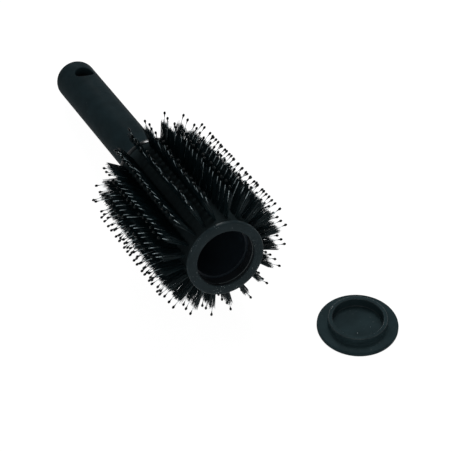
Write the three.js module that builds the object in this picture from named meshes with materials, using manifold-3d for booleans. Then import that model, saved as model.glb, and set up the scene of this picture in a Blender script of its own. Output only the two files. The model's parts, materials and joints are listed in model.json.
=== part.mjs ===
// A round styling brush whose hollow barrel is a hidden compartment, with its cap taken off and
// laid beside the mouth. Millimetres, +Z up, standing on z = 0.
//
// Inside the brush group, y runs along the barrel's axis from the mouth (y = 0) to the handle's
// end, and a turn angle is measured from straight up (+Z) towards +X.
import * as THREE from 'three';
import { mergeVertices } from 'three/addons/utils/BufferGeometryUtils.js';
import Module from 'manifold-3d';

const wasm = await Module();
wasm.setup();

// Fits
const clearance = 0.3;          // between pieces that seat on or in each other
const plugClearance = 0.2;      // between the cap's plug and the mouth

// Radii of the barrel, from the mouth outwards
const mouthRadius = 16.1;
const seatWall = 1.2;           // wall of the socket that takes the cap's plug
const tubeWall = 1.3;
const backing = 1.3;            // sheet that the bristles stand on
const ringLip = 1.0;            // how far the mouth ring stands proud of the bristle panels
const shelf = 1.3;              // step from the plug's socket down to the liner
const linerWall = 1.4;

// Lengths along the barrel
const barrelLength = 102;
const ringThickness = 2.2;
const seatDepth = 8;
const endCapThickness = 4;
const endPlugLength = 5;
const linerFloor = 1.6;
const linerFlange = 2;

// Mouth ring details
const ringEdge = 0.7;           // rounding of the ring's outer front edge
const mouthChamfer = 0.5;
const grooveStart = 1.5;
const grooveWidth = 1.3;
const grooveDepth = 0.4;

// Handle
const brushLength = 230;
const gripFrontRadius = 11.9;
const gripRearRadius = 12.3;
const gripFrontEdge = 0.8;
const gripCorner = 7.5;         // rounding of the handle's end
const gripEndWall = 4;
const coreRadius = 7.5;
const coreCorner = 2;
const coreSocketDepth = 3;
const hangHoleRadius = 5.6;
const hangHoleInset = 20.5;     // from the handle's end to the middle of the hole
const hangHoleTurn = 8;

// Rear end cap
const endCapEdge = 1.2;
const endCapWeb = 2.2;
const endPlugWall = 2;
const bossRadius = 8;

// Screw that pulls the handle onto the barrel, and its washer
const screwRadius = 1.9;
const screwLength = 20;
const screwPoint = 3;
const headRadius = 3.8;
const headHeight = 2;
const headRound = 0.8;
const washerRadius = 4.8;
const washerThickness = 0.8;

// Bristles
const rows = 20;
const rowPhase = -4;            // turn of the row next to the top, in degrees
const panels = 4;
const pinsPerRow = 9;
const tuftsPerRow = 8;
const frontBare = 5.5;          // bare backing in front of the first bristles
const rearBare = 6.7;           // bare backing behind the last ones
const pinTipRadius = 39.2;
const pinWidth = 0.65;
const ballWidth = 1.45;
const tuftTipRadius = 32.8;
const tuftRaggedness = 0.7;     // how much the tufts' lengths differ
const tuftRootLength = 1.6;
const tuftRootWidth = 1.2;
const tuftTipLength = 2.6;
const tuftTipWidth = 1.7;
const rootDepth = 0.6;          // how deep a strand's root is sunk in the backing
const flatTip = 0.5;            // depth of the flats on the outer pins that the brush lies on

// Cap
const capFlangeThickness = 2.3;
const capOverhang = 0.5;        // how far the flange stands out past the mouth ring
const capEdge = 0.7;
const plugHeight = 4.7;
const plugWall = 2.1;
const plugEdge = 0.4;
const recessFloor = 1.6;
const recessFillet = 1.5;
const lugCount = 3;
const lugTurn = 94;
const lugSpan = 28;
const lugProud = 0.3;
const lugHeight = 1.3;
const lugBelowRim = 1.7;

// Where the cap lies, from the point on the surface under the middle of the mouth
const capAside = 65.3;
const capAhead = 26.8;

// Facets round each turned piece
const barrelFacets = 40;
const handleFacets = 36;
const smallFacets = 20;
const panelFacets = 10;

// Worked-out radii
const seatOuter = mouthRadius + seatWall;
const tubeInner = seatOuter + clearance;
const tubeOuter = tubeInner + tubeWall;
const panelInner = tubeOuter + clearance;
const panelOuter = panelInner + backing;
const ringRadius = panelOuter + ringLip;
const linerInner = mouthRadius - shelf;
const linerOuter = linerInner + linerWall;
const sleeveInner = coreRadius + clearance;
const screwHole = screwRadius + clearance;
const flangeRadius = ringRadius + capOverhang;
const plugRadius = mouthRadius - plugClearance;
const recessRadius = plugRadius - plugWall;

// Worked-out stations along the barrel
const sleeveStart = ringThickness + clearance;
const endCapStart = barrelLength - endCapThickness;
const sleeveEnd = endCapStart - clearance;
const firstBristle = sleeveStart + frontBare;
const lastBristle = sleeveEnd - rearBare;
const endPlugStart = endCapStart - endPlugLength;
const linerStart = seatDepth + clearance;
const linerEnd = endPlugStart - clearance;
const socketBottom = barrelLength - coreSocketDepth;
const headSeat = socketBottom - endCapWeb;
const washerStart = headSeat - clearance - washerThickness;
const headEnd = washerStart - clearance;
const coreStart = socketBottom + clearance;
const coreEnd = brushLength - gripEndWall - clearance;
const gripStart = barrelLength + clearance;

const degrees = Math.PI / 180;
const rowStep = 360 / rows;

// How the brush lies: on the rearmost pins of its two lowest rows, which bend until both touch,
// and on the rounded end of its handle.
const secondLowest = rowStep - Math.abs(rowPhase);
const pinPress = pinTipRadius * (1 - Math.cos(secondLowest * degrees)) + flatTip;
const restRadius = pinTipRadius - pinPress;
const cornerRise = restRadius - (gripRearRadius - gripCorner);
const cornerReach = brushLength - gripCorner - lastBristle;
const tilt = Math.atan2(cornerRise, cornerReach)
  - Math.asin(gripCorner / Math.hypot(cornerRise, cornerReach));
const mouthHeight = restRadius * Math.cos(tilt) + lastBristle * Math.sin(tilt);

// Turns a geometry into a solid with merged corners and its faces pointing out
function solidOf(geometry) {
  const bare = geometry.clone();
  bare.deleteAttribute('normal');
  bare.deleteAttribute('uv');
  const merged = mergeVertices(bare, 1e-4);
  const place = merged.getAttribute('position');
  const corner = [new THREE.Vector3(), new THREE.Vector3(), new THREE.Vector3()];
  const triangles = [];
  let volume = 0;
  for (let i = 0; i < merged.index.count; i += 3) {
    const ids = [0, 1, 2].map((k) => merged.index.getX(i + k));
    if (ids[0] === ids[1] || ids[1] === ids[2] || ids[2] === ids[0]) continue;
    ids.forEach((id, k) => corner[k].fromBufferAttribute(place, id));
    volume += corner[0].dot(corner[1].clone().cross(corner[2]));
    triangles.push(ids);
  }
  const ordered = volume > 0 ? triangles : triangles.map(([a, b, c]) => [a, c, b]);
  return new wasm.Manifold(new wasm.Mesh({
    numProp: 3,
    vertProperties: new Float32Array(place.array),
    triVerts: new Uint32Array(ordered.flat()),
  }));
}

function geometryOf(solid) {
  const mesh = solid.getMesh();
  const geometry = new THREE.BufferGeometry();
  geometry.setAttribute('position', new THREE.BufferAttribute(mesh.vertProperties, 3));
  geometry.setIndex(new THREE.BufferAttribute(mesh.triVerts, 1));
  geometry.computeVertexNormals();
  return geometry;
}

// Points of an arc in a turned profile, each as [radius, station], with angles in degrees
function arc(radius, station, size, from, to, steps = 5) {
  return Array.from({ length: steps + 1 }, (_, i) => {
    const angle = (from + (to - from) * i / steps) * degrees;
    return [radius + size * Math.cos(angle), station + size * Math.sin(angle)];
  });
}

// A solid turned round the y axis from [radius, station] points. A profile that doesn't start
// on the axis is closed on itself.
function turned(profile, facets) {
  const onAxis = profile[0][0] === 0;
  const points = (onAxis ? profile : [...profile, profile[0]]).map(([r, s]) => new THREE.Vector2(r, s));
  return solidOf(new THREE.LatheGeometry(points, facets));
}

// A closed solid through a list of rings with equally many corners, whose last ring may be one
// point
function lofted(rings) {
  const corners = rings.flat();
  const sides = rings[0].length;
  const faces = [];
  for (let level = 0; level < rings.length - 1; level += 1) {
    for (let side = 0; side < sides; side += 1) {
      const next = (side + 1) % sides;
      const low = level * sides;
      const high = low + sides;
      if (rings[level + 1].length === 1) {
        faces.push(low + side, low + next, high);
      } else {
        faces.push(low + side, low + next, high + next);
        faces.push(low + side, high + next, high + side);
      }
    }
  }
  for (let side = 1; side < sides - 1; side += 1) faces.push(0, side + 1, side);
  if (rings.at(-1).length > 1) {
    const top = (rings.length - 1) * sides;
    for (let side = 1; side < sides - 1; side += 1) faces.push(top, top + side, top + side + 1);
  }
  const geometry = new THREE.BufferGeometry().setFromPoints(corners);
  geometry.setIndex(faces);
  return solidOf(geometry);
}

// The point at a turn angle in degrees, a radius and a station, moved sideways round the barrel
function around(turn, radius, station, sideways = 0) {
  const sin = Math.sin(turn * degrees);
  const cos = Math.cos(turn * degrees);
  return new THREE.Vector3(radius * sin + sideways * cos, station, radius * cos - sideways * sin);
}

// A band of a barrel wall between two turn angles, with the section given as [radius, station]
function band(section, fromTurn, toTurn, steps) {
  return lofted(Array.from({ length: steps + 1 }, (_, i) => {
    const turn = fromTurn + (toTurn - fromTurn) * i / steps;
    return section.map(([radius, station]) => around(turn, radius, station));
  }));
}

function makeMouthRing() {
  const grooveEnd = grooveStart + grooveWidth;
  return turned([
    [mouthRadius + mouthChamfer, 0],
    ...arc(ringRadius - ringEdge, ringEdge, ringEdge, -90, 0),
    [ringRadius, ringThickness],
    [seatOuter, ringThickness],
    [seatOuter, seatDepth],
    [mouthRadius, seatDepth],
    [mouthRadius, grooveEnd],
    [mouthRadius + grooveDepth, grooveEnd - grooveDepth],
    [mouthRadius + grooveDepth, grooveStart + grooveDepth],
    [mouthRadius, grooveStart],
    [mouthRadius, mouthChamfer],
  ], barrelFacets);
}

function makeLiner() {
  const floorTop = linerEnd - linerFloor;
  return turned([
    [0, floorTop],
    ...arc(linerInner - linerFloor, floorTop - linerFloor, linerFloor, 90, 0, 3),
    [linerInner, linerStart],
    [seatOuter, linerStart],
    [seatOuter, linerStart + linerFlange],
    [linerOuter, linerStart + linerFlange],
    [linerOuter, linerEnd],
    [0, linerEnd],
  ], barrelFacets);
}

function makeTube() {
  return turned([
    [tubeInner, sleeveStart],
    [tubeOuter, sleeveStart],
    [tubeOuter, sleeveEnd],
    [tubeInner, sleeveEnd],
  ], barrelFacets);
}

function makeEndCap() {
  const pocketRadius = washerRadius + clearance;
  return turned([
    [pocketRadius, endPlugStart],
    [bossRadius, endPlugStart],
    [bossRadius, endCapStart],
    [seatOuter - endPlugWall, endCapStart],
    [seatOuter - endPlugWall, endPlugStart],
    [seatOuter, endPlugStart],
    [seatOuter, endCapStart],
    [panelOuter, endCapStart],
    ...arc(panelOuter - endCapEdge, barrelLength - endCapEdge, endCapEdge, 0, 90),
    [sleeveInner, barrelLength],
    [sleeveInner, socketBottom],
    [screwHole, socketBottom],
    [screwHole, headSeat],
    [pocketRadius, headSeat],
  ], barrelFacets);
}

function makeScrew() {
  const headTop = headEnd - headHeight;
  const tip = headEnd + screwLength;
  return turned([
    [0, headTop],
    ...arc(headRadius - headRound, headTop + headRound, headRound, -90, 0, 3),
    [headRadius, headEnd],
    [screwRadius, headEnd],
    [screwRadius, tip - screwPoint],
    [0, tip],
  ], smallFacets);
}

function makeWasher() {
  return turned([
    [screwHole, washerStart],
    [washerRadius, washerStart],
    [washerRadius, washerStart + washerThickness],
    [screwHole, washerStart + washerThickness],
  ], smallFacets);
}

// The round hole through the handle's end that the brush hangs by
function makeHangHole() {
  const drill = new THREE.CylinderGeometry(hangHoleRadius, hangHoleRadius, 4 * gripRearRadius, handleFacets);
  drill.rotateX(Math.PI / 2);
  drill.rotateY(hangHoleTurn * degrees);
  drill.translate(0, brushLength - hangHoleInset, 0);
  return solidOf(drill);
}

function makeCore() {
  const pilotEnd = headEnd + screwLength + clearance;
  return turned([
    [0, pilotEnd],
    [screwHole, pilotEnd - screwPoint],
    [screwHole, coreStart],
    [coreRadius, coreStart],
    ...arc(coreRadius - coreCorner, coreEnd - coreCorner, coreCorner, 0, 90, 3),
    [0, coreEnd],
  ], handleFacets);
}

function makeGrip() {
  return turned([
    [0, coreEnd + clearance],
    ...arc(coreRadius - coreCorner, coreEnd - coreCorner, coreCorner + clearance, 90, 0, 3),
    [sleeveInner, gripStart],
    ...arc(gripFrontRadius - gripFrontEdge, gripStart + gripFrontEdge, gripFrontEdge, -90, 0, 2),
    ...arc(gripRearRadius - gripCorner, brushLength - gripCorner, gripCorner, 0, 90, 7),
    [0, brushLength],
  ], handleFacets);
}

// A corner of a strand's section, length along the barrel and width round it
function sectionCorner(turn, radius, station, halfLength, halfWidth) {
  return around(turn, radius, station + halfLength, halfWidth);
}

// A slim three-sided pin with a ball-like tip
function makePin(turn, station) {
  const ring = (radius, width) => [90, 210, 330].map((angle) => sectionCorner(
    turn,
    radius,
    station,
    width / 2 * Math.sin(angle * degrees),
    width / 2 * Math.cos(angle * degrees),
  ));
  return lofted([
    ring(panelOuter - rootDepth, pinWidth),
    ring(pinTipRadius - ballWidth, pinWidth),
    ring(pinTipRadius - ballWidth / 2, ballWidth),
    [around(turn, pinTipRadius, station)],
  ]);
}

// A four-sided tuft that widens towards its tip
function makeTuft(turn, station, index) {
  const ring = (radius, length, width) => [[-1, -1], [1, -1], [1, 1], [-1, 1]].map(
    ([a, b]) => sectionCorner(turn, radius, station, a * length / 2, b * width / 2),
  );
  const tip = tuftTipRadius + tuftRaggedness * Math.sin(2.4 * index + turn);
  return lofted([
    ring(panelOuter - rootDepth, tuftRootLength, tuftRootWidth),
    ring(tip, tuftTipLength, tuftTipWidth),
  ]);
}

// Pins and tufts take turns along a row
function makeRow(turn) {
  const strands = pinsPerRow + tuftsPerRow;
  const pitch = (lastBristle - firstBristle) / (strands - 1);
  return Array.from({ length: strands }, (_, i) => {
    const station = lastBristle - pitch * i;
    return i % 2 === 0 ? makePin(turn, station) : makeTuft(turn, station, i);
  });
}

// A quarter of the bristled sleeve: its backing with the rows fused to it, cut flat at the
// surface that the brush lies on
function makePanel(index, surface) {
  const rowsHere = rows / panels;
  const firstTurn = (index * rowsHere + 0.5) * rowStep + rowPhase;
  const gapTurn = clearance / 2 / panelInner / degrees;
  const section = [
    [panelInner, sleeveStart],
    [panelOuter, sleeveStart],
    [panelOuter, sleeveEnd],
    [panelInner, sleeveEnd],
  ];
  const sheet = band(section, firstTurn + gapTurn, firstTurn + rowsHere * rowStep - gapTurn, panelFacets);
  const strands = Array.from({ length: rowsHere }, (_, i) => makeRow(firstTurn + (i + 0.5) * rowStep)).flat();
  return wasm.Manifold.union([sheet, ...strands]).subtract(surface);
}

function makeCap() {
  const top = capFlangeThickness + plugHeight;
  const body = turned([
    [0, 0],
    ...arc(flangeRadius - capEdge, capEdge, capEdge, -90, 0, 3),
    ...arc(flangeRadius - capEdge, capFlangeThickness - capEdge, capEdge, 0, 90, 3),
    [plugRadius, capFlangeThickness],
    ...arc(plugRadius - plugEdge, top - plugEdge, plugEdge, 0, 90, 2),
    ...arc(recessRadius + plugEdge, top - plugEdge, plugEdge, 90, 180, 2),
    ...arc(recessRadius - recessFillet, recessFloor + recessFillet, recessFillet, 0, -90, 4),
    [0, recessFloor],
  ], barrelFacets);
  const lugTop = top - lugBelowRim;
  const lugSection = [
    [plugRadius - plugWall / 2, lugTop - lugHeight],
    [plugRadius, lugTop - lugHeight],
    [plugRadius + lugProud, lugTop - lugHeight / 2],
    [plugRadius, lugTop],
    [plugRadius - plugWall / 2, lugTop],
  ];
  const lugs = Array.from({ length: lugCount }, (_, i) => {
    const middle = lugTurn + 360 / lugCount * i;
    return band(lugSection, middle - lugSpan / 2, middle + lugSpan / 2, 4);
  });
  return wasm.Manifold.union([body, ...lugs]);
}

function material(color, roughness, metalness = 0) {
  return new THREE.MeshStandardMaterial({ color, roughness, metalness });
}

function named(name, solid, finish) {
  const mesh = new THREE.Mesh(geometryOf(solid), finish);
  mesh.name = name;
  return mesh;
}

// The brush, lying with its mouth raised
const brush = new THREE.Group();
brush.position.set(0, 0, mouthHeight);
brush.rotation.x = -tilt;
brush.updateMatrixWorld(true);

// Everything below the surface, as seen from inside the brush group
const surfaceBlock = new THREE.BoxGeometry(4 * pinTipRadius, 2 * brushLength, pinTipRadius);
surfaceBlock.translate(0, 0, -pinTipRadius / 2);
surfaceBlock.applyMatrix4(brush.matrixWorld.clone().invert());
const surface = solidOf(surfaceBlock);

const hangHole = makeHangHole();
brush.add(named('mouth_ring', makeMouthRing(), material(0x232b2e, 0.42)));
brush.add(named('compartment_liner', makeLiner(), material(0x15191b, 0.5)));
brush.add(named('barrel_tube', makeTube(), material(0x1b2022, 0.5)));
brush.add(named('rear_end_cap', makeEndCap(), material(0x20272a, 0.35)));
brush.add(named('handle_screw', makeScrew(), material(0xb4b7ba, 0.3, 1)));
brush.add(named('screw_washer', makeWasher(), material(0xa6a9ac, 0.35, 1)));
brush.add(named('handle_core', makeCore().subtract(hangHole), material(0x1a1f21, 0.6)));
brush.add(named('handle_grip', makeGrip().subtract(hangHole), material(0x1f272a, 0.55)));
for (let i = 0; i < panels; i += 1) {
  brush.add(named(`bristle_panel_${i + 1}`, makePanel(i, surface), material(0x14191c, 0.5)));
}

// The cap, lying on its outer face with its plug up
const cap = named('cap', makeCap(), material(0x232b2e, 0.42));
cap.rotation.x = Math.PI / 2;
cap.position.set(capAside, -capAhead, 0);

// The origin is on the surface under the middle of the whole
const group = new THREE.Group();
group.add(brush, cap);
const middle = new THREE.Box3().setFromObject(group, true).getCenter(new THREE.Vector3());
group.position.set(-middle.x, -middle.y, 0);
group.updateMatrixWorld(true);

export default group;
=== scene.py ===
import json
import math

import bmesh
import bpy
import numpy as np
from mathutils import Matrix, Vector
from mathutils.geometry import delaunay_2d_cdt


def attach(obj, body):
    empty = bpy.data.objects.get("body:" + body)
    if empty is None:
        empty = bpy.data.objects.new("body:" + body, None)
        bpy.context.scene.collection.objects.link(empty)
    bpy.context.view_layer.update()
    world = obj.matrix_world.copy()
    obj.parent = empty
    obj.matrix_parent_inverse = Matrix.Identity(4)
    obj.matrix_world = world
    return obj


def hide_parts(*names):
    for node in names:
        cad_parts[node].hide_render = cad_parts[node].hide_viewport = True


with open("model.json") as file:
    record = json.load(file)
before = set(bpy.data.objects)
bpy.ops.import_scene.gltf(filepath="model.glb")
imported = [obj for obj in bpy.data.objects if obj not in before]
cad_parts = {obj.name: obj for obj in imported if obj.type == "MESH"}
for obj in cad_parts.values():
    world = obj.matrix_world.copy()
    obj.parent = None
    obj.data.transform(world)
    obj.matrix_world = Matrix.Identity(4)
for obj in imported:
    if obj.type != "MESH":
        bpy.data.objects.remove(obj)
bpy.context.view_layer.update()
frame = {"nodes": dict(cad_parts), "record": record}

# A round styling brush with a hollow barrel, lying on its bristles and its handle's end, and the
# cap of its compartment beside it. Sizes are in millimetres until a mesh is made, and a place on
# the brush is given by a turn from straight up towards +X, a radius and a station along the
# barrel from the mouth.
MM = 0.001
rng = np.random.default_rng(20)

# Radii of the barrel
MOUTH_RADIUS = 16.1
SEAT_OUTER = 17.3
SLEEVE_INNER = 19.2
SLEEVE_OUTER = 20.5
RING_RADIUS = 21.5
LINER_INNER = 14.8
LINER_OUTER = 16.2

# Stations along the barrel
RING_THICKNESS = 2.2
SEAT_DEPTH = 8.0
SLEEVE_START = 2.5
SLEEVE_END = 97.7
LINER_START = 8.3
LINER_END = 92.7
LINER_FLANGE = 2.0
LINER_FLOOR = 1.6
BARREL_END = 102.0
END_CAP_START = 98.0
END_PLUG_START = 93.0

# Handle
GRIP_START = 102.3
BRUSH_END = 230.0
GRIP_FRONT_RADIUS = 11.9
GRIP_REAR_RADIUS = 12.3
GRIP_CORNER = 7.5
GRIP_FRONT_EDGE = 0.8
BORE_RADIUS = 7.8
BORE_END = 226.0
BORE_CORNER = 2.3
HOLE_RADIUS = 5.6
HOLE_RIM = 0.7
HOLE_STATION = 209.5
HOLE_TURN = 8.0

# Bristles
ROWS = 20
ROW_PHASE = -4.0
PER_ROW = 17
FIRST_STATION = 8.0
LAST_STATION = 91.0
ROOT_DEPTH = 0.4
PIN_TIP = 39.2
PIN_WIDTH = 0.3
PIN_SIDES = 8
PIN_UNEVENNESS = 0.55
BALL_WIDTH = 1.45
BALL_LENGTH = 1.85
TUFT_TIP = 32.9
TUFT_ROOT_ALONG = 1.9
TUFT_ROOT_ACROSS = 0.6
TUFT_TIP_ALONG = 3.0
TUFT_TIP_ACROSS = 1.55
TUFT_LEAN = 0.3
TUFT_RAGGEDNESS = 0.35
HAIRS = 90
HAIR_WIDTH = 0.21
HAIR_SIDES = 3
HAIR_BEND = 0.42
HAIR_RAGGEDNESS = 0.75

# How far the rows lean along the brush at their rear ends, by the row's turn, and the share of
# the row's length where that begins
REAR_LEAN_TURNS = [14, 32, 50, 68, 86, 140, 220, 266, 284, 302, 320, 338, 356]
REAR_LEAN = [3.0, 3.4, 3.0, 2.0, 0.5, 0.0, 0.0, 3.0, -3.0, -5.5, -5.5, -1.0, 1.0]
REAR_LEAN_START = 0.6
TOP_ROW_SWAY_FRONT = -3.6
TOP_ROW_SWAY_REAR = -1.2
REAR_SPLAY_ROOT = 3.0
REAR_SPLAY_TIP = 1.2

# Cap
CAP_CENTRE = (41.2023, -115.8748, 0.0)
FLANGE_RADIUS = 22.0
FLANGE_THICKNESS = 2.3
PLUG_RADIUS = 15.9
PLUG_TOP = 7.0
RECESS_RADIUS = 13.8
RECESS_FLOOR = 1.6
PLUG_ROUNDING = 0.4
RECESS_ROUNDING = 0.35
LUG_TOP = PLUG_TOP - 1.7
LUG_HEIGHT = 1.3
LUG_TURN = 94.0
LUG_SPACING = 120.0
LUG_HALF_WIDTH = 14.5
LUG_RAMP = 2.5
LUG_RISE = 0.3
GATE_MARKS = [(-3.0, -5.6, 0.4), (-3.8, -8.8, 0.34), (5.4, -4.6, 0.22)]

# How the brush lies: the mouth's face is a mount of the record, and its point lies in the middle
# of the ring's face, above the axis
FACE_POINT_RADIUS = (MOUTH_RADIUS + RING_RADIUS) / 2
mouth_face = next(m for m in frame["record"]["mounts"] if m["name"] == "mouth_face")
AXIS = -Vector(mouth_face["axis"]).normalized()
UP = Vector((0, -AXIS.z, AXIS.y))
MOUTH_CENTRE = Vector(mouth_face["pos_m"]) - UP * FACE_POINT_RADIUS * MM
BRUSH = np.array([[1, AXIS.x, UP.x], [0, AXIS.y, UP.y], [0, AXIS.z, UP.z]], float)
CAP = np.array([[1, 0, 0], [0, 0, -1], [0, 1, 0]], float)


def on_brush(points):
    """From the brush's own frame, across, along and up in millimetres, to the scene in metres."""
    return np.asarray(points, float) * MM @ BRUSH.T + np.array(MOUTH_CENTRE)


def on_cap(points):
    """The same for the cap, which is turned about its upright axis."""
    return (np.asarray(points, float) @ CAP.T + np.array(CAP_CENTRE)) * MM


def around(turn, radius, station, sideways=0.0):
    """Points in a piece's own frame, from turn angles in degrees."""
    sin = np.sin(np.radians(turn))
    cos = np.cos(np.radians(turn))
    return np.stack(
        np.broadcast_arrays(radius * sin + sideways * cos, station, radius * cos - sideways * sin),
        axis=-1,
    )


# Meshes

def piece(name, points, faces, body, materials, nodes, sharp=40, shades=None):
    """A named piece that stands for CAD nodes. Edges sharper than the angle stay crisp, and
    shades gives each face's place in the list of materials."""
    mesh = bpy.data.meshes.new(name)
    mesh.from_pydata(np.asarray(points, float).tolist(), [], [list(f) for f in faces])
    if shades is not None:
        mesh.polygons.foreach_set("material_index", np.asarray(shades, np.int32))
    work = bmesh.new()
    work.from_mesh(mesh)
    bmesh.ops.remove_doubles(work, verts=work.verts, dist=0.004 * MM)
    bmesh.ops.recalc_face_normals(work, faces=work.faces)
    for edge in work.edges:
        edge.smooth = edge.calc_face_angle(0.0) < math.radians(sharp)
    for f in work.faces:
        f.smooth = True
    work.to_mesh(mesh)
    work.free()
    for material in materials:
        mesh.materials.append(material)
    obj = bpy.data.objects.new(name, mesh)
    bpy.context.scene.collection.objects.link(obj)
    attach(obj, body)
    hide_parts(*nodes)


def rounded(profile, closed=True, steps=4):
    """A turned profile of [radius, station, rounding] points with its corners rounded."""
    count = len(profile)
    made = []
    for i, (r, s, size) in enumerate(profile):
        if size <= 0 or (not closed and i in (0, count - 1)):
            made.append((r, s))
            continue
        here = np.array([r, s])
        before = np.array(profile[i - 1][:2]) - here
        after = np.array(profile[(i + 1) % count][:2]) - here
        before /= np.linalg.norm(before)
        after /= np.linalg.norm(after)
        half = math.acos(max(-1.0, min(1.0, float(before @ after)))) / 2
        reach = size / math.tan(half)
        bisector = (before + after) / np.linalg.norm(before + after)
        middle = here + bisector * size / math.sin(half)
        a = here + before * reach - middle
        b = here + after * reach - middle
        sweep = math.pi - 2 * half
        for k in range(steps + 1):
            t = k / steps
            weight_a = math.sin((1 - t) * sweep) / math.sin(sweep)
            weight_b = math.sin(t * sweep) / math.sin(sweep)
            made.append(tuple(middle + a * weight_a + b * weight_b))
    return made


def lathe(profile, segments, closed=True, first_turn=0.0, shape=None):
    """Points and faces of a turned surface. shape may move the radius at a turn."""
    points = []
    faces = []
    count = len(profile)
    turns = first_turn + np.arange(segments) * 360 / segments
    for r, s in profile:
        radius = np.full(segments, float(r))
        if shape is not None:
            radius = shape(turns, radius, s)
        points.append(around(turns, radius, s))
    for i in range(count if closed else count - 1):
        j = (i + 1) % count
        if profile[i][0] < 1e-6 and profile[j][0] < 1e-6:
            continue
        for k in range(segments):
            n = (k + 1) % segments
            a, b, c, d = i * segments + k, i * segments + n, j * segments + n, j * segments + k
            if profile[i][0] < 1e-6:
                faces.append((a, c, d))
            elif profile[j][0] < 1e-6:
                faces.append((a, b, c))
            else:
                faces.append((a, b, c, d))
    return np.concatenate(points), faces


def middles(profile):
    """The middle of each side of a closed profile."""
    ends = np.array(profile, float)
    return (ends + np.roll(ends, -1, axis=0)) / 2


def joined(*parts):
    """Several points-and-faces pairs as one."""
    points = []
    faces = []
    start = 0
    for part_points, part_faces in parts:
        points.append(part_points)
        faces.extend(tuple(start + i for i in f) for f in part_faces)
        start += len(part_points)
    return np.concatenate(points), faces


def strands(centres, widths, sides):
    """Closed tubes through centres, an array of strand, ring and coordinate, with widths for each
    ring. The first ring and the last are closed with a face each. Each tube has its own spin."""
    count, rings, _ = centres.shape
    angles = 2 * np.pi * np.arange(sides) / sides
    direction = centres[:, -1] - centres[:, 0]
    direction /= np.linalg.norm(direction, axis=1, keepdims=True)
    axis = np.array([0.0, 1.0, 0.0])
    across = np.cross(direction, axis)
    across /= np.linalg.norm(across, axis=1, keepdims=True)
    length = np.cross(across, direction)
    spin = rng.uniform(0, 2 * np.pi, (count, 1))
    cos = np.cos(angles[None] + spin)
    sin = np.sin(angles[None] + spin)
    ring = cos[..., None] * across[:, None] + sin[..., None] * length[:, None]
    points = centres[:, :, None] + ring[:, None] * (np.asarray(widths) / 2)[..., None, None]
    faces = []
    block = rings * sides
    for strand in range(count):
        start = strand * block
        for level in range(rings - 1):
            low = start + level * sides
            for side in range(sides):
                n = (side + 1) % sides
                faces.append((low + side, low + n, low + sides + n, low + sides + side))
        faces.append(tuple(range(start + sides - 1, start - 1, -1)))
        faces.append(tuple(range(start + block - sides, start + block)))
    return points.reshape(-1, 3), faces


# Materials

class Nodes:
    """Short forms for the nodes that every material here is made of."""

    def __init__(self, name):
        self.material = bpy.data.materials.new(name)
        self.material.use_nodes = True
        self.tree = self.material.node_tree
        self.shader = self.tree.nodes["Principled BSDF"]
        self.place = self.tree.nodes.new("ShaderNodeTexCoord").outputs["Object"]

    def new(self, kind, **values):
        node = self.tree.nodes.new(kind)
        for key, value in values.items():
            setattr(node, key, value)
        return node

    def link(self, source, target):
        self.tree.links.new(source, target)

    def noise(self, scale, detail=3.0, stretch=None):
        node = self.new("ShaderNodeTexNoise")
        node.inputs["Scale"].default_value = scale
        node.inputs["Detail"].default_value = detail
        source = self.place
        if stretch is not None:
            mapping = self.new("ShaderNodeMapping")
            mapping.inputs["Scale"].default_value = stretch
            self.link(self.place, mapping.inputs["Vector"])
            source = mapping.outputs["Vector"]
        self.link(source, node.inputs["Vector"])
        return node.outputs["Fac"]

    def cells(self, scale):
        node = self.new("ShaderNodeTexVoronoi")
        node.inputs["Scale"].default_value = scale
        self.link(self.place, node.inputs["Vector"])
        return node.outputs["Distance"]

    def spread(self, value, low, high, to_low, to_high):
        node = self.new("ShaderNodeMapRange")
        limits = {"From Min": low, "From Max": high, "To Min": to_low, "To Max": to_high}
        for key, number in limits.items():
            node.inputs[key].default_value = number
        self.link(value, node.inputs["Value"])
        return node.outputs["Result"]

    def mix(self, factor, first, second):
        node = self.new("ShaderNodeMix", data_type="RGBA")
        self.link(factor, node.inputs["Factor"])
        for key, colour in ((6, first), (7, second)):
            if isinstance(colour, tuple):
                node.inputs[key].default_value = (*colour, 1)
            else:
                self.link(colour, node.inputs[key])
        return node.outputs[2]

    def bump(self, height, distance):
        node = self.new("ShaderNodeBump")
        node.inputs["Distance"].default_value = distance * MM
        node.inputs["Strength"].default_value = 1.0
        self.link(height, node.inputs["Height"])
        self.link(node.outputs["Normal"], self.shader.inputs["Normal"])


def tinted(colour, factor):
    return tuple(min(1.0, c * factor) for c in colour)


def moulded(name, colour, roughness, specular, grain=2200.0, depth=0.012, dust=0.0, specks=300.0):
    """Moulded plastic: clouded colour, uneven gloss, a fine grain and a little dust."""
    n = Nodes(name)
    cloud = n.noise(90.0, 4.0)
    base = n.mix(n.spread(cloud, 0.3, 0.7, 0, 1), tinted(colour, 0.82), tinted(colour, 1.2))
    if dust > 0:
        speck = n.spread(n.cells(specks), 0.08, 0.2, 1, 0)
        patch = n.spread(n.noise(160.0, 2.0), 0.5, 0.62, 0, dust)
        both = n.new("ShaderNodeMath", operation="MULTIPLY")
        n.link(speck, both.inputs[0])
        n.link(patch, both.inputs[1])
        base = n.mix(both.outputs[0], base, (0.4, 0.44, 0.45))
    n.link(base, n.shader.inputs["Base Color"])
    gloss = n.spread(n.noise(260.0, 3.0), 0.25, 0.75, roughness - 0.05, roughness + 0.07)
    n.link(gloss, n.shader.inputs["Roughness"])
    n.shader.inputs["Specular IOR Level"].default_value = specular
    n.bump(n.noise(grain, 2.0), depth)
    return n.material


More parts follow.
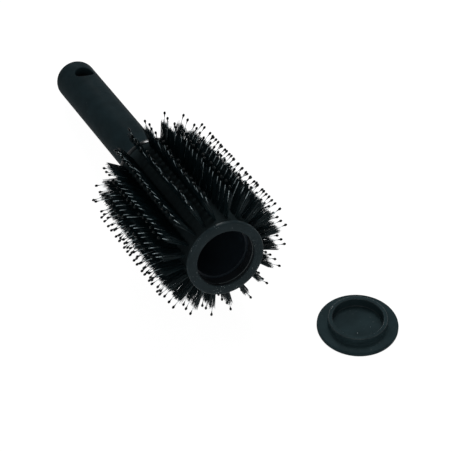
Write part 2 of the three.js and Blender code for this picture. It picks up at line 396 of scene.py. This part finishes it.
def nylon(name, colour, roughness, specular):
    """Drawn nylon: each strand a little lighter or darker and glossier than the next."""
    n = Nodes(name)
    strand = n.noise(1500.0, 1.0)
    n.link(
        n.mix(n.spread(strand, 0.3, 0.7, 0, 1), tinted(colour, 0.6), tinted(colour, 1.7)),
        n.shader.inputs["Base Color"],
    )
    gloss = n.spread(n.noise(900.0, 2.0), 0.3, 0.7, roughness - 0.08, roughness + 0.14)
    n.link(gloss, n.shader.inputs["Roughness"])
    n.shader.inputs["Specular IOR Level"].default_value = specular
    n.bump(n.noise(3500.0, 1.0), 0.01)
    return n.material


def steel(name, colour, roughness):
    """Plated steel with fine marks along the screw."""
    n = Nodes(name)
    n.shader.inputs["Metallic"].default_value = 1.0
    n.link(n.mix(n.noise(700.0), tinted(colour, 0.85), colour), n.shader.inputs["Base Color"])
    drawn = n.noise(1200.0, 3.0, (1, 0.1, 1))
    gloss = n.spread(drawn, 0.2, 0.8, roughness - 0.08, roughness + 0.12)
    n.link(gloss, n.shader.inputs["Roughness"])
    n.bump(n.noise(2600.0, 2.0, (1, 0.1, 1)), 0.006)
    return n.material


soft_touch = moulded(
    "soft_touch", (0.0085, 0.0162, 0.0192), 0.55, 0.008, grain=3000.0, depth=0.01, dust=0.03
)
ring_plastic = moulded(
    "ring_plastic", (0.0145, 0.0242, 0.0278), 0.36, 0.06, dust=1.0, specks=900.0
)
socket_plastic = moulded("socket_plastic", (0.017, 0.021, 0.025), 0.4, 0.06)
# Glossier than the cap, and lighter in colour as a painted highlight on the plug's rim and recess
# corner
rim_highlight_plastic = moulded("rim_highlight_plastic", (0.024, 0.037, 0.041), 0.25, 0.15)
# A lighter colour for the ring's groove edges: a painted highlight
edge_glint_plastic = moulded("edge_glint_plastic", (0.04, 0.052, 0.056), 0.25, 0.2)
cap_plastic = moulded("cap_plastic", (0.0178, 0.0332, 0.0378), 0.42, 0.015, dust=0.06)
# The gate marks' light colour is a painted highlight on them
mark_highlight_plastic = moulded("mark_highlight_plastic", (0.16, 0.2, 0.21), 0.4, 0.3)
liner_plastic = moulded("liner_plastic", (0.012, 0.018, 0.024), 0.34, 0.2)
end_plastic = moulded("end_plastic", (0.003, 0.005, 0.006), 0.12, 0.07, depth=0.006)
sleeve_plastic = moulded("sleeve_plastic", (0.012, 0.0175, 0.019), 0.6, 0.0, depth=0.01)
hidden_plastic = moulded("hidden_plastic", (0.008, 0.0095, 0.01), 0.5, 0.3)
hair_nylon = nylon("hair_nylon", (0.0036, 0.0102, 0.0125), 0.4, 0.08)
# Lighter hairs for the tufts beside the mouth: painted light falling on them
front_lit_nylon = nylon("front_lit_nylon", (0.014, 0.0245, 0.0275), 0.35, 0.2)
stem_nylon = nylon("stem_nylon", (0.44, 0.54, 0.57), 0.15, 1.0)
ball_nylon = nylon("ball_nylon", (0.0018, 0.0042, 0.0048), 0.12, 0.06)
screw_steel = steel("screw_steel", (0.62, 0.63, 0.65), 0.32)


# Mouth ring, with the socket for the cap's plug and a shallow groove in it

RING_SEGMENTS = 144
GROOVE_START = 1.5
GROOVE_END = 2.8
GROOVE_DEPTH = 0.4
GROOVE_SLOPE = 0.15
FACE, INSIDE, PAINTED_GLINT = range(3)
ring_profile = rounded([
    (MOUTH_RADIUS, 0, 0.8),
    (RING_RADIUS, 0, 0.85),
    (RING_RADIUS, RING_THICKNESS, 0.15),
    (SEAT_OUTER, RING_THICKNESS, 0.1),
    (SEAT_OUTER, SEAT_DEPTH, 0.2),
    (MOUTH_RADIUS, SEAT_DEPTH, 0.2),
    (MOUTH_RADIUS, GROOVE_END + 0.2, 0),
    (MOUTH_RADIUS, GROOVE_END, 0.1),
    (MOUTH_RADIUS + GROOVE_DEPTH, GROOVE_END - GROOVE_SLOPE, 0.06),
    (MOUTH_RADIUS + GROOVE_DEPTH, GROOVE_START + GROOVE_SLOPE, 0.06),
    (MOUTH_RADIUS, GROOVE_START, 0.1),
    (MOUTH_RADIUS, GROOVE_START - 0.25, 0),
])
ring_turns = np.arange(RING_SEGMENTS) * 360 / RING_SEGMENTS
# The turns on which the groove's edges get that painted highlight
GLINT_TURNS = (50, 195)
glint_side = (ring_turns > GLINT_TURNS[0]) & (ring_turns < GLINT_TURNS[1])


def ring_shades(radius, station):
    """The ring's inside is darker than its face, and on one side the groove's edges get a lighter
    colour, a painted highlight along them."""
    if station <= 0.5 or radius >= MOUTH_RADIUS + 0.5:
        return np.full(RING_SEGMENTS, FACE)
    groove_edge = -0.3 < station - GROOVE_START < 0.1 or -0.1 < station - GROOVE_END < 0.25
    return np.where(glint_side & groove_edge, PAINTED_GLINT, INSIDE)


points, faces = lathe(ring_profile, RING_SEGMENTS)
shades = np.concatenate([ring_shades(r, s) for r, s in middles(ring_profile)])
piece(
    "mouth_ring_fine",
    on_brush(points),
    faces,
    "brush",
    [ring_plastic, socket_plastic, edge_glint_plastic],
    ["mouth_ring"],
    shades=shades,
)

# Liner of the compartment, whose front edge is the shelf behind the socket
floor_top = LINER_END - LINER_FLOOR
liner_profile = rounded([
    (0, floor_top, 0),
    (LINER_INNER, floor_top, LINER_FLOOR),
    (LINER_INNER, LINER_START, 0.1),
    (SEAT_OUTER, LINER_START, 0.15),
    (SEAT_OUTER, LINER_START + LINER_FLANGE, 0.15),
    (LINER_OUTER, LINER_START + LINER_FLANGE, 0),
    (LINER_OUTER, LINER_END, 0.5),
    (0, LINER_END, 0),
], closed=False)
points, faces = lathe(liner_profile, 120, closed=False)
piece(
    "liner_fine",
    on_brush(points),
    faces,
    "brush",
    [liner_plastic],
    ["compartment_liner"],
)

# Rear end cap, with a rounded glossy edge. Its boss is hollow for the screw's head, and the
# handle's core stands in a socket on its other side.
BOSS_RADIUS = 8.0
HEAD_SPACE = 5.1
SCREW_HOLE_RADIUS = 2.2
WEB_FRONT = 96.8
WEB_REAR = 99.0
PLUG_INNER = SEAT_OUTER - 2
end_profile = rounded([
    (HEAD_SPACE, END_PLUG_START, 0.2),
    (BOSS_RADIUS, END_PLUG_START, 0.2),
    (BOSS_RADIUS, END_CAP_START, 0.3),
    (PLUG_INNER, END_CAP_START, 0.3),
    (PLUG_INNER, END_PLUG_START, 0.3),
    (SEAT_OUTER, END_PLUG_START, 0.3),
    (SEAT_OUTER, END_CAP_START, 0.1),
    (SLEEVE_OUTER, END_CAP_START, 0.15),
    (SLEEVE_OUTER, BARREL_END, 1.6),
    (BORE_RADIUS, BARREL_END, 0.2),
    (BORE_RADIUS, WEB_REAR, 0),
    (SCREW_HOLE_RADIUS, WEB_REAR, 0),
    (SCREW_HOLE_RADIUS, WEB_FRONT, 0),
    (HEAD_SPACE, WEB_FRONT, 0),
], steps=6)
points, faces = lathe(end_profile, RING_SEGMENTS)
piece(
    "end_cap_fine",
    on_brush(points),
    faces,
    "brush",
    [end_plastic],
    ["rear_end_cap"],
)


# Handle grip: a sleeve closed at its round end, with a hole through it to hang the brush by

GRIP_SEGMENTS = 96
GRIP_TURN = HOLE_TURN - 90
HOLE_SEGMENTS = 56
# The stations that the pierced parts of the grip's outside and of its bore run between
OUTER_BAND = (199, 220)
BORE_BAND = (200, 219)


def grip_radius(station):
    share = (station - GRIP_START) / (BRUSH_END - GRIP_CORNER - GRIP_START)
    return GRIP_FRONT_RADIUS + (GRIP_REAR_RADIUS - GRIP_FRONT_RADIUS) * share


def bore_radius(_station):
    return BORE_RADIUS


def hole_circle(distance):
    """Sideways offsets and stations round the hole at a distance from its axis."""
    angles = np.radians(np.arange(HOLE_SEGMENTS) * 360 / HOLE_SEGMENTS)
    return distance * np.sin(angles), HOLE_STATION + distance * np.cos(angles)


def hole_distance(turn, station, radius_of):
    """How far a place on a turned surface is from the hole's axis."""
    offset = math.sin(math.radians(turn - HOLE_TURN)) * radius_of(station)
    return math.hypot(offset, station - HOLE_STATION)


def rim_points(side, radius_of, distance, depth=0.0):
    """Points round the hole at a distance from its axis and a depth under a turned surface."""
    offset, station = hole_circle(distance)
    height = np.sqrt(radius_of(station) ** 2 - offset ** 2) - depth
    return around(HOLE_TURN + side, height, station, offset)


def pierced_band(radius_of, start, end, rings, distance):
    """The part of a turned surface that the hole goes through, on both sides. The surface is laid
    flat, meshed round the two outlines of the hole and rolled up again."""
    flat = []
    for station in np.linspace(start, end, rings + 1):
        edge = abs(station - start) < 1e-6 or abs(station - end) < 1e-6
        for i in range(GRIP_SEGMENTS + 1):
            turn = GRIP_TURN + i * 360 / GRIP_SEGMENTS
            if edge or hole_distance(turn, station, radius_of) > distance + 0.5:
                flat.append((turn, station))
    edges = []
    for side in (0, 180):
        first = len(flat)
        offset, station = hole_circle(distance)
        turn = HOLE_TURN + side + np.degrees(np.arcsin(offset / radius_of(station)))
        flat.extend(zip(turn.tolist(), station.tolist()))
        edges.extend((first + k, first + (k + 1) % HOLE_SEGMENTS) for k in range(HOLE_SEGMENTS))
    scale = math.radians(1) * radius_of(HOLE_STATION)
    made = delaunay_2d_cdt([Vector((t * scale, s)) for t, s in flat], edges, [], 0, 1e-5)
    turns = np.array([v.x for v in made[0]]) / scale
    stations = np.array([v.y for v in made[0]])
    faces = []
    for f in made[2]:
        middle_turn = turns[list(f)].mean()
        middle_station = stations[list(f)].mean()
        if hole_distance(middle_turn, middle_station, radius_of) > distance * 0.998:
            faces.append(tuple(f))
    return around(turns, radius_of(stations), stations), faces


def bridge(loops):
    """Faces through a list of loops of equally many points."""
    count = len(loops[0])
    faces = []
    for level in range(len(loops) - 1):
        for k in range(count):
            n = (k + 1) % count
            low = level * count
            faces.append((low + k, low + n, low + count + n, low + count + k))
    return np.concatenate(loops), faces


def graded(start, end, steps, radius_of):
    """A profile in even steps along a turned surface."""
    return [(radius_of(s), s) for s in np.linspace(start, end, steps + 1)]


def round_end(radius, end, size, steps):
    """A profile round the end's corner and on to the axis."""
    corner = [
        (radius - size + size * math.cos(a), end - size + size * math.sin(a))
        for a in np.radians(np.linspace(0, 90, steps + 1))
    ]
    return corner + [(0, end)]


def grip_lathe(profile):
    return lathe(profile, GRIP_SEGMENTS, False, GRIP_TURN)


front_end = GRIP_START + 3
front = rounded([
    (BORE_RADIUS, front_end, 0),
    (BORE_RADIUS, GRIP_START, 0.3),
    (GRIP_FRONT_RADIUS, GRIP_START, GRIP_FRONT_EDGE),
    (grip_radius(front_end), front_end, 0),
], closed=False)
outer_start, outer_end = OUTER_BAND
bore_start, bore_end = BORE_BAND
outer_corner = round_end(GRIP_REAR_RADIUS, BRUSH_END, GRIP_CORNER, 10)
bore_corner = round_end(BORE_RADIUS, BORE_END, BORE_CORNER, 5)
parts = [
    grip_lathe(front + graded(front_end, outer_start, 40, grip_radius)[1:]),
    pierced_band(grip_radius, outer_start, outer_end, 16, HOLE_RADIUS + HOLE_RIM),
    grip_lathe([(grip_radius(outer_end), outer_end)] + outer_corner),
    grip_lathe(graded(front_end, bore_start, 2, bore_radius)),
    pierced_band(bore_radius, bore_start, bore_end, 12, HOLE_RADIUS),
    grip_lathe([(BORE_RADIUS, bore_end)] + bore_corner),
]
for side in (0, 180):
    loops = []
    for a in np.radians(np.linspace(0, 90, 6)):
        distance = HOLE_RADIUS + HOLE_RIM * (1 - math.sin(a))
        loops.append(rim_points(side, grip_radius, distance, HOLE_RIM * (1 - math.cos(a))))
    loops.append(rim_points(side, bore_radius, HOLE_RADIUS))
    parts.append(bridge(loops))
points, faces = joined(*parts)
piece(
    "grip_fine",
    on_brush(points),
    faces,
    "brush",
    [soft_touch],
    ["handle_grip"],
)


# Bristled sleeve, its tufts and its ball-tipped pins

PANELS = ["bristle_panel_1", "bristle_panel_2", "bristle_panel_3", "bristle_panel_4"]
sleeve_profile = rounded([
    (SLEEVE_INNER, SLEEVE_START, 0.2),
    (SLEEVE_OUTER, SLEEVE_START, 0.35),
    (SLEEVE_OUTER, SLEEVE_END, 0.35),
    (SLEEVE_INNER, SLEEVE_END, 0.2),
])
points, faces = lathe(sleeve_profile, 160)
piece(
    "bristle_sleeve",
    on_brush(points),
    faces,
    "brush",
    [sleeve_plastic],
    PANELS,
)

turns, stations = np.meshgrid(
    ROW_PHASE + np.arange(ROWS) * 360 / ROWS,
    np.linspace(FIRST_STATION, LAST_STATION, PER_ROW),
    indexing="ij",
)
turns = turns.ravel()
stations = stations.ravel()
count = len(turns)

# The rows' rear ends lean along the brush, each by its own amount, and the row beside the top
# one leans over to the left
along_row = (stations - FIRST_STATION) / (LAST_STATION - FIRST_STATION)
rear_share = np.clip(along_row - REAR_LEAN_START, 0, 1) / (1 - REAR_LEAN_START)
row_lean = np.interp(turns, REAR_LEAN_TURNS, REAR_LEAN, period=360) * rear_share
top_row = np.abs(turns - ROW_PHASE) < 1
top_sway = TOP_ROW_SWAY_FRONT + (TOP_ROW_SWAY_REAR - TOP_ROW_SWAY_FRONT) * along_row
row_sway = np.where(top_row, top_sway, 0.0)

# Hairs leave a tuft's root side by side and fan out to a ragged end. The last tuft of each row
# splays out to the rear.
which = np.repeat(np.arange(count), HAIRS)
hairs = len(which)
spread = rng.uniform(0, 1, (hairs, 2))
spoke = np.sqrt(spread[:, 0])
aim = 2 * np.pi * spread[:, 1]
root_along = TUFT_ROOT_ALONG * spoke * np.cos(aim)
root_across = TUFT_ROOT_ACROSS * spoke * np.sin(aim)
last_tuft = stations[which] > LAST_STATION - 1
rear_splay = np.where(last_tuft, np.clip(np.cos(aim), 0, 1), 0.0) * spoke
root_along += REAR_SPLAY_ROOT * rear_splay
tip_along = TUFT_TIP_ALONG * spoke * np.cos(aim) + rng.normal(0, 0.3, hairs)
tip_across = TUFT_TIP_ACROSS * spoke * np.sin(aim) + rng.normal(0, 0.25, hairs)
lean = rng.normal(0, TUFT_LEAN, (count, 2))
tip_along += lean[which, 0] + np.clip(0.6 * row_lean, -1.5, 3)[which]
tip_along += REAR_SPLAY_TIP * rear_splay
tip_across += lean[which, 1] + 0.8 * row_sway[which]
length = TUFT_TIP + rng.normal(0, TUFT_RAGGEDNESS, count)[which]
length += np.clip(rng.normal(0, HAIR_RAGGEDNESS, hairs), -2.2, 1.5)
# Halfway out, a hair has gone less than half of the way sideways, so it bends outwards
centres = np.stack([
    around(turns[which], SLEEVE_OUTER - ROOT_DEPTH, stations[which] + root_along, root_across),
    around(
        turns[which],
        (SLEEVE_OUTER + length) / 2,
        stations[which] + root_along + HAIR_BEND * (tip_along - root_along),
        root_across + HAIR_BEND * (tip_across - root_across),
    ),
    around(turns[which], length, stations[which] + tip_along, tip_across),
], axis=1)
widths = np.tile([HAIR_WIDTH, HAIR_WIDTH * 0.95, HAIR_WIDTH * 0.75], (hairs, 1))
points, faces = strands(centres, widths, HAIR_SIDES)
# Every second hair of the tufts beside the mouth is lighter: painted light on the front tufts
painted_lit_hairs = (stations[which] < FIRST_STATION + 1) & (np.arange(hairs) % 2 == 0)
piece(
    "bristle_tufts",
    on_brush(points),
    faces,
    "brush",
    [hair_nylon, front_lit_nylon],
    PANELS,
    sharp=75,
    shades=np.repeat(painted_lit_hairs, len(faces) // hairs),
)

# A pin stands in the middle of each tuft. Where the brush lies on the pins, they bow until
# their balls rest on the surface.
ball = BALL_LENGTH / 2
reach = PIN_TIP - ball
tilts = rng.normal(0, PIN_UNEVENNESS, (count, 2))
tilts[:, 0] += row_lean
tilts[:, 1] += row_sway
tip = around(turns, reach, stations + tilts[:, 0], tilts[:, 1])
root = around(turns, SLEEVE_OUTER - ROOT_DEPTH, stations)
# How high the ball's underside is above the surface, with a little to spare
height = on_brush(tip)[:, 2] / MM - ball * 1.03
bow = np.zeros_like(tip)
for i in np.flatnonzero(height < 0):
    tip[i, 2] -= height[i] / UP.z
    span = np.linalg.norm(around(turns[i], reach, stations[i]) - root[i])
    chord = np.linalg.norm(tip[i] - root[i])
    # How far the middle of a shallow bow as long as the span stands off its chord
    rise = math.sqrt(max(0.0, 3 / 8 * chord * (span - chord)))
    bow[i, 0] = rise if i % 2 else -rise
    bow[i, 1] = -0.4 * rise
# The rings of a stem by their share of its length, and those of its ball by their latitude
shares = np.array([0, 0.18, 0.36, 0.54, 0.72, 0.88, 1.0])
latitudes = np.radians([-62, -35, -5, 25, 55, 80])
line = root[:, None] + (tip - root)[:, None] * shares[None, :, None]
line += bow[:, None] * (4 * shares * (1 - shares))[None, :, None]
outward = line[:, -1] - line[:, -2]
outward /= np.linalg.norm(outward, axis=1, keepdims=True)
ends = line[:, -1:] + outward[:, None] * (ball * np.sin(latitudes))[None, :, None]
centres = np.concatenate([line[:, :-1], ends], axis=1)
stem = np.linspace(PIN_WIDTH * 1.2, PIN_WIDTH * 0.95, len(shares) - 1)
widths = np.concatenate([stem, BALL_WIDTH * np.cos(latitudes)])
points, faces = strands(centres, np.tile(widths, (count, 1)), PIN_SIDES)
# Each face's place along its pin, then the faces that close its root and its ball
level = np.repeat(np.arange(len(widths) - 1), PIN_SIDES)
shades = np.tile(np.concatenate([level >= len(shares) - 2, [False, True]]), count)
piece(
    "bristle_pins",
    on_brush(points),
    faces,
    "brush",
    [stem_nylon, ball_nylon],
    PANELS,
    sharp=60,
    shades=shades,
)


# Cap: a flange with a hollow plug, low snap lugs on the plug and gate marks on the recess floor

CAP_SEGMENTS = 180


def lugs(turn, radius, station):
    """The plug's wall swells at three low lugs."""
    if not LUG_TOP - LUG_HEIGHT * 0.7 < station < LUG_TOP - LUG_HEIGHT * 0.3:
        return radius
    half = LUG_SPACING / 2
    off = np.abs((turn - LUG_TURN + half) % LUG_SPACING - half)
    return radius + LUG_RISE * np.clip((LUG_HALF_WIDTH - off) / LUG_RAMP, 0, 1)


def cap_shade(radius, station):
    """1 on the plug's rounded rim and in the corner of its recess, which are glossier and lighter
    in colour, a painted highlight.
    """
    margin = 0.02
    rim = margin < PLUG_TOP - station < PLUG_ROUNDING - margin
    inside = radius < PLUG_RADIUS
    corner = inside and margin < station - RECESS_FLOOR < RECESS_ROUNDING - margin
    return int(rim or corner)


cap_profile = rounded([
    (0, 0, 0),
    (FLANGE_RADIUS, 0, 0.5),
    (FLANGE_RADIUS, FLANGE_THICKNESS, 0.75),
    (PLUG_RADIUS, FLANGE_THICKNESS, 1.1),
    (PLUG_RADIUS, LUG_TOP - LUG_HEIGHT, 0),
    (PLUG_RADIUS, LUG_TOP - LUG_HEIGHT * 0.6, 0),
    (PLUG_RADIUS, LUG_TOP - LUG_HEIGHT * 0.4, 0),
    (PLUG_RADIUS, LUG_TOP, 0),
    (PLUG_RADIUS, PLUG_TOP, PLUG_ROUNDING),
    (RECESS_RADIUS, PLUG_TOP, PLUG_ROUNDING),
    (RECESS_RADIUS, RECESS_FLOOR, RECESS_ROUNDING),
    (0, RECESS_FLOOR, 0),
], closed=False, steps=5)
points, faces = lathe(cap_profile, CAP_SEGMENTS, closed=False, shape=lugs)
shades = np.repeat([cap_shade(r, s) for r, s in middles(cap_profile)[:-1]], CAP_SEGMENTS)
piece(
    "cap_fine",
    on_cap(points),
    faces,
    "cap",
    [cap_plastic, rim_highlight_plastic],
    ["cap"],
    shades=shades,
)
# The gate marks are pale, as a painted highlight on each
marks = []
for x, y, radius in GATE_MARKS:
    dome = [(0, -0.05), (radius, -0.05), (radius * 0.8, 0.1), (radius * 0.4, 0.16), (0, 0.18)]
    points, faces = lathe(dome, 16, closed=False)
    marks.append((points + [x, RECESS_FLOOR, -y], faces))
points, faces = joined(*marks)
piece("cap_marks", on_cap(points), faces, "cap", [mark_highlight_plastic], ["cap"])


# CAD pieces that stay

for node, material in (
    ("barrel_tube", hidden_plastic),
    ("handle_core", hidden_plastic),
    ("handle_screw", screw_steel),
    ("screw_washer", screw_steel),
):
    mesh = frame["nodes"][node].data
    mesh.materials.clear()
    mesh.materials.append(material)


# Stage: a wide white floor that curves up into a wall all round, in metres

FLOOR_RADIUS = 5.0
FLOOR_CURVE = 1.0
WALL_TOP = 2.2
WHITE_STRENGTH = 1.1
WHITE_SHARE = 0.88


def make_stage():
    """The floor shows white to the camera and in reflections, and keeps a share of the shadow."""
    profile = [(0.0, 0.0), (1.0, 0.0), (3.0, 0.0), (FLOOR_RADIUS, 0.0)]
    profile += [
        (FLOOR_RADIUS + FLOOR_CURVE * math.sin(a), FLOOR_CURVE * (1 - math.cos(a)))
        for a in np.radians(np.linspace(10, 90, 9))
    ]
    profile.append((FLOOR_RADIUS + FLOOR_CURVE, WALL_TOP))
    points, faces = lathe(profile, 64, closed=False)
    mesh = bpy.data.meshes.new("floor")
    mesh.from_pydata((points @ CAP.T).tolist(), [], faces)
    work = bmesh.new()
    work.from_mesh(mesh)
    bmesh.ops.remove_doubles(work, verts=work.verts, dist=1e-5)
    bmesh.ops.recalc_face_normals(work, faces=work.faces)
    work.to_mesh(mesh)
    work.free()
    mesh.shade_smooth()
    floor = bpy.data.objects.new("floor", mesh)
    bpy.context.scene.collection.objects.link(floor)
    material = bpy.data.materials.new("white_floor")
    material.use_nodes = True
    tree = material.node_tree
    tree.nodes.remove(tree.nodes["Principled BSDF"])
    lit = tree.nodes.new("ShaderNodeBsdfDiffuse")
    lit.inputs["Color"].default_value = (0.9, 0.9, 0.9, 1)
    white = tree.nodes.new("ShaderNodeEmission")
    white.inputs["Strength"].default_value = WHITE_STRENGTH
    path = tree.nodes.new("ShaderNodeLightPath")
    total = path.outputs["Is Camera Ray"]
    for ray in ("Is Glossy Ray", "Is Transmission Ray"):
        add = tree.nodes.new("ShaderNodeMath")
        add.operation = "ADD"
        add.use_clamp = True
        tree.links.new(total, add.inputs[0])
        tree.links.new(path.outputs[ray], add.inputs[1])
        total = add.outputs[0]
    share = tree.nodes.new("ShaderNodeMath")
    share.operation = "MULTIPLY"
    share.inputs[1].default_value = WHITE_SHARE
    tree.links.new(total, share.inputs[0])
    mix = tree.nodes.new("ShaderNodeMixShader")
    tree.links.new(share.outputs[0], mix.inputs[0])
    tree.links.new(lit.outputs[0], mix.inputs[1])
    tree.links.new(white.outputs[0], mix.inputs[2])
    tree.links.new(mix.outputs[0], tree.nodes["Material Output"].inputs["Surface"])
    mesh.materials.append(material)


make_stage()


# Lights

def softbox(name, place, target, width, height, power):
    """A rectangular lamp at a place in metres, turned to its target. Power is in watts."""
    data = bpy.data.lights.new(name, "AREA")
    data.shape = "RECTANGLE"
    data.size = width
    data.size_y = height
    data.energy = power
    lamp = bpy.data.objects.new(name, data)
    bpy.context.scene.collection.objects.link(lamp)
    lamp.location = place
    lamp.rotation_euler = (Vector(target) - Vector(place)).to_track_quat("-Z", "Y").to_euler()


middle = (0, 0, 0.03)
softbox("overhead", (0.3, 0.3, 0.9), middle, 0.42, 0.42, 4.1)
softbox("left_fill", (-0.7, 0.35, 0.75), middle, 0.3, 0.3, 1.1)
softbox("back_strip", (0.24, 1.2, 0.6), middle, 0.22, 0.18, 4.6)
softbox("front_fill", (-0.35, -0.8, 0.42), middle, 0.6, 0.4, 1.3)

world = bpy.data.worlds.new("studio")
bpy.context.scene.world = world
world.use_nodes = True
sky = world.node_tree.nodes["Background"]
sky.inputs["Color"].default_value = (1, 1, 1, 1)
sky.inputs["Strength"].default_value = 0.22


# Camera, as fitted to the photograph: its focal length in pixels of a picture 452 pixels wide,
# its place from the mouth's centre in millimetres and the direction it looks in

FOCAL_PIXELS = 1750.45
PICTURE_WIDTH = 452
CAMERA_FROM_MOUTH = Vector((-270.17, -583.28, 633.29))
CAMERA_LOOK = Vector((0.30474, 0.65838, -0.68823))

camera_data = bpy.data.cameras.new("camera")
camera_data.sensor_width = 36
camera_data.lens = camera_data.sensor_width * FOCAL_PIXELS / PICTURE_WIDTH
camera_data.clip_start = 0.05
camera_data.clip_end = 50
camera = bpy.data.objects.new("camera", camera_data)
bpy.context.scene.collection.objects.link(camera)
camera.location = MOUTH_CENTRE + CAMERA_FROM_MOUTH * MM
camera.rotation_euler = CAMERA_LOOK.to_track_quat("-Z", "Y").to_euler()
bpy.context.scene.camera = camera

bpy.context.scene.view_settings.view_transform = "Standard"
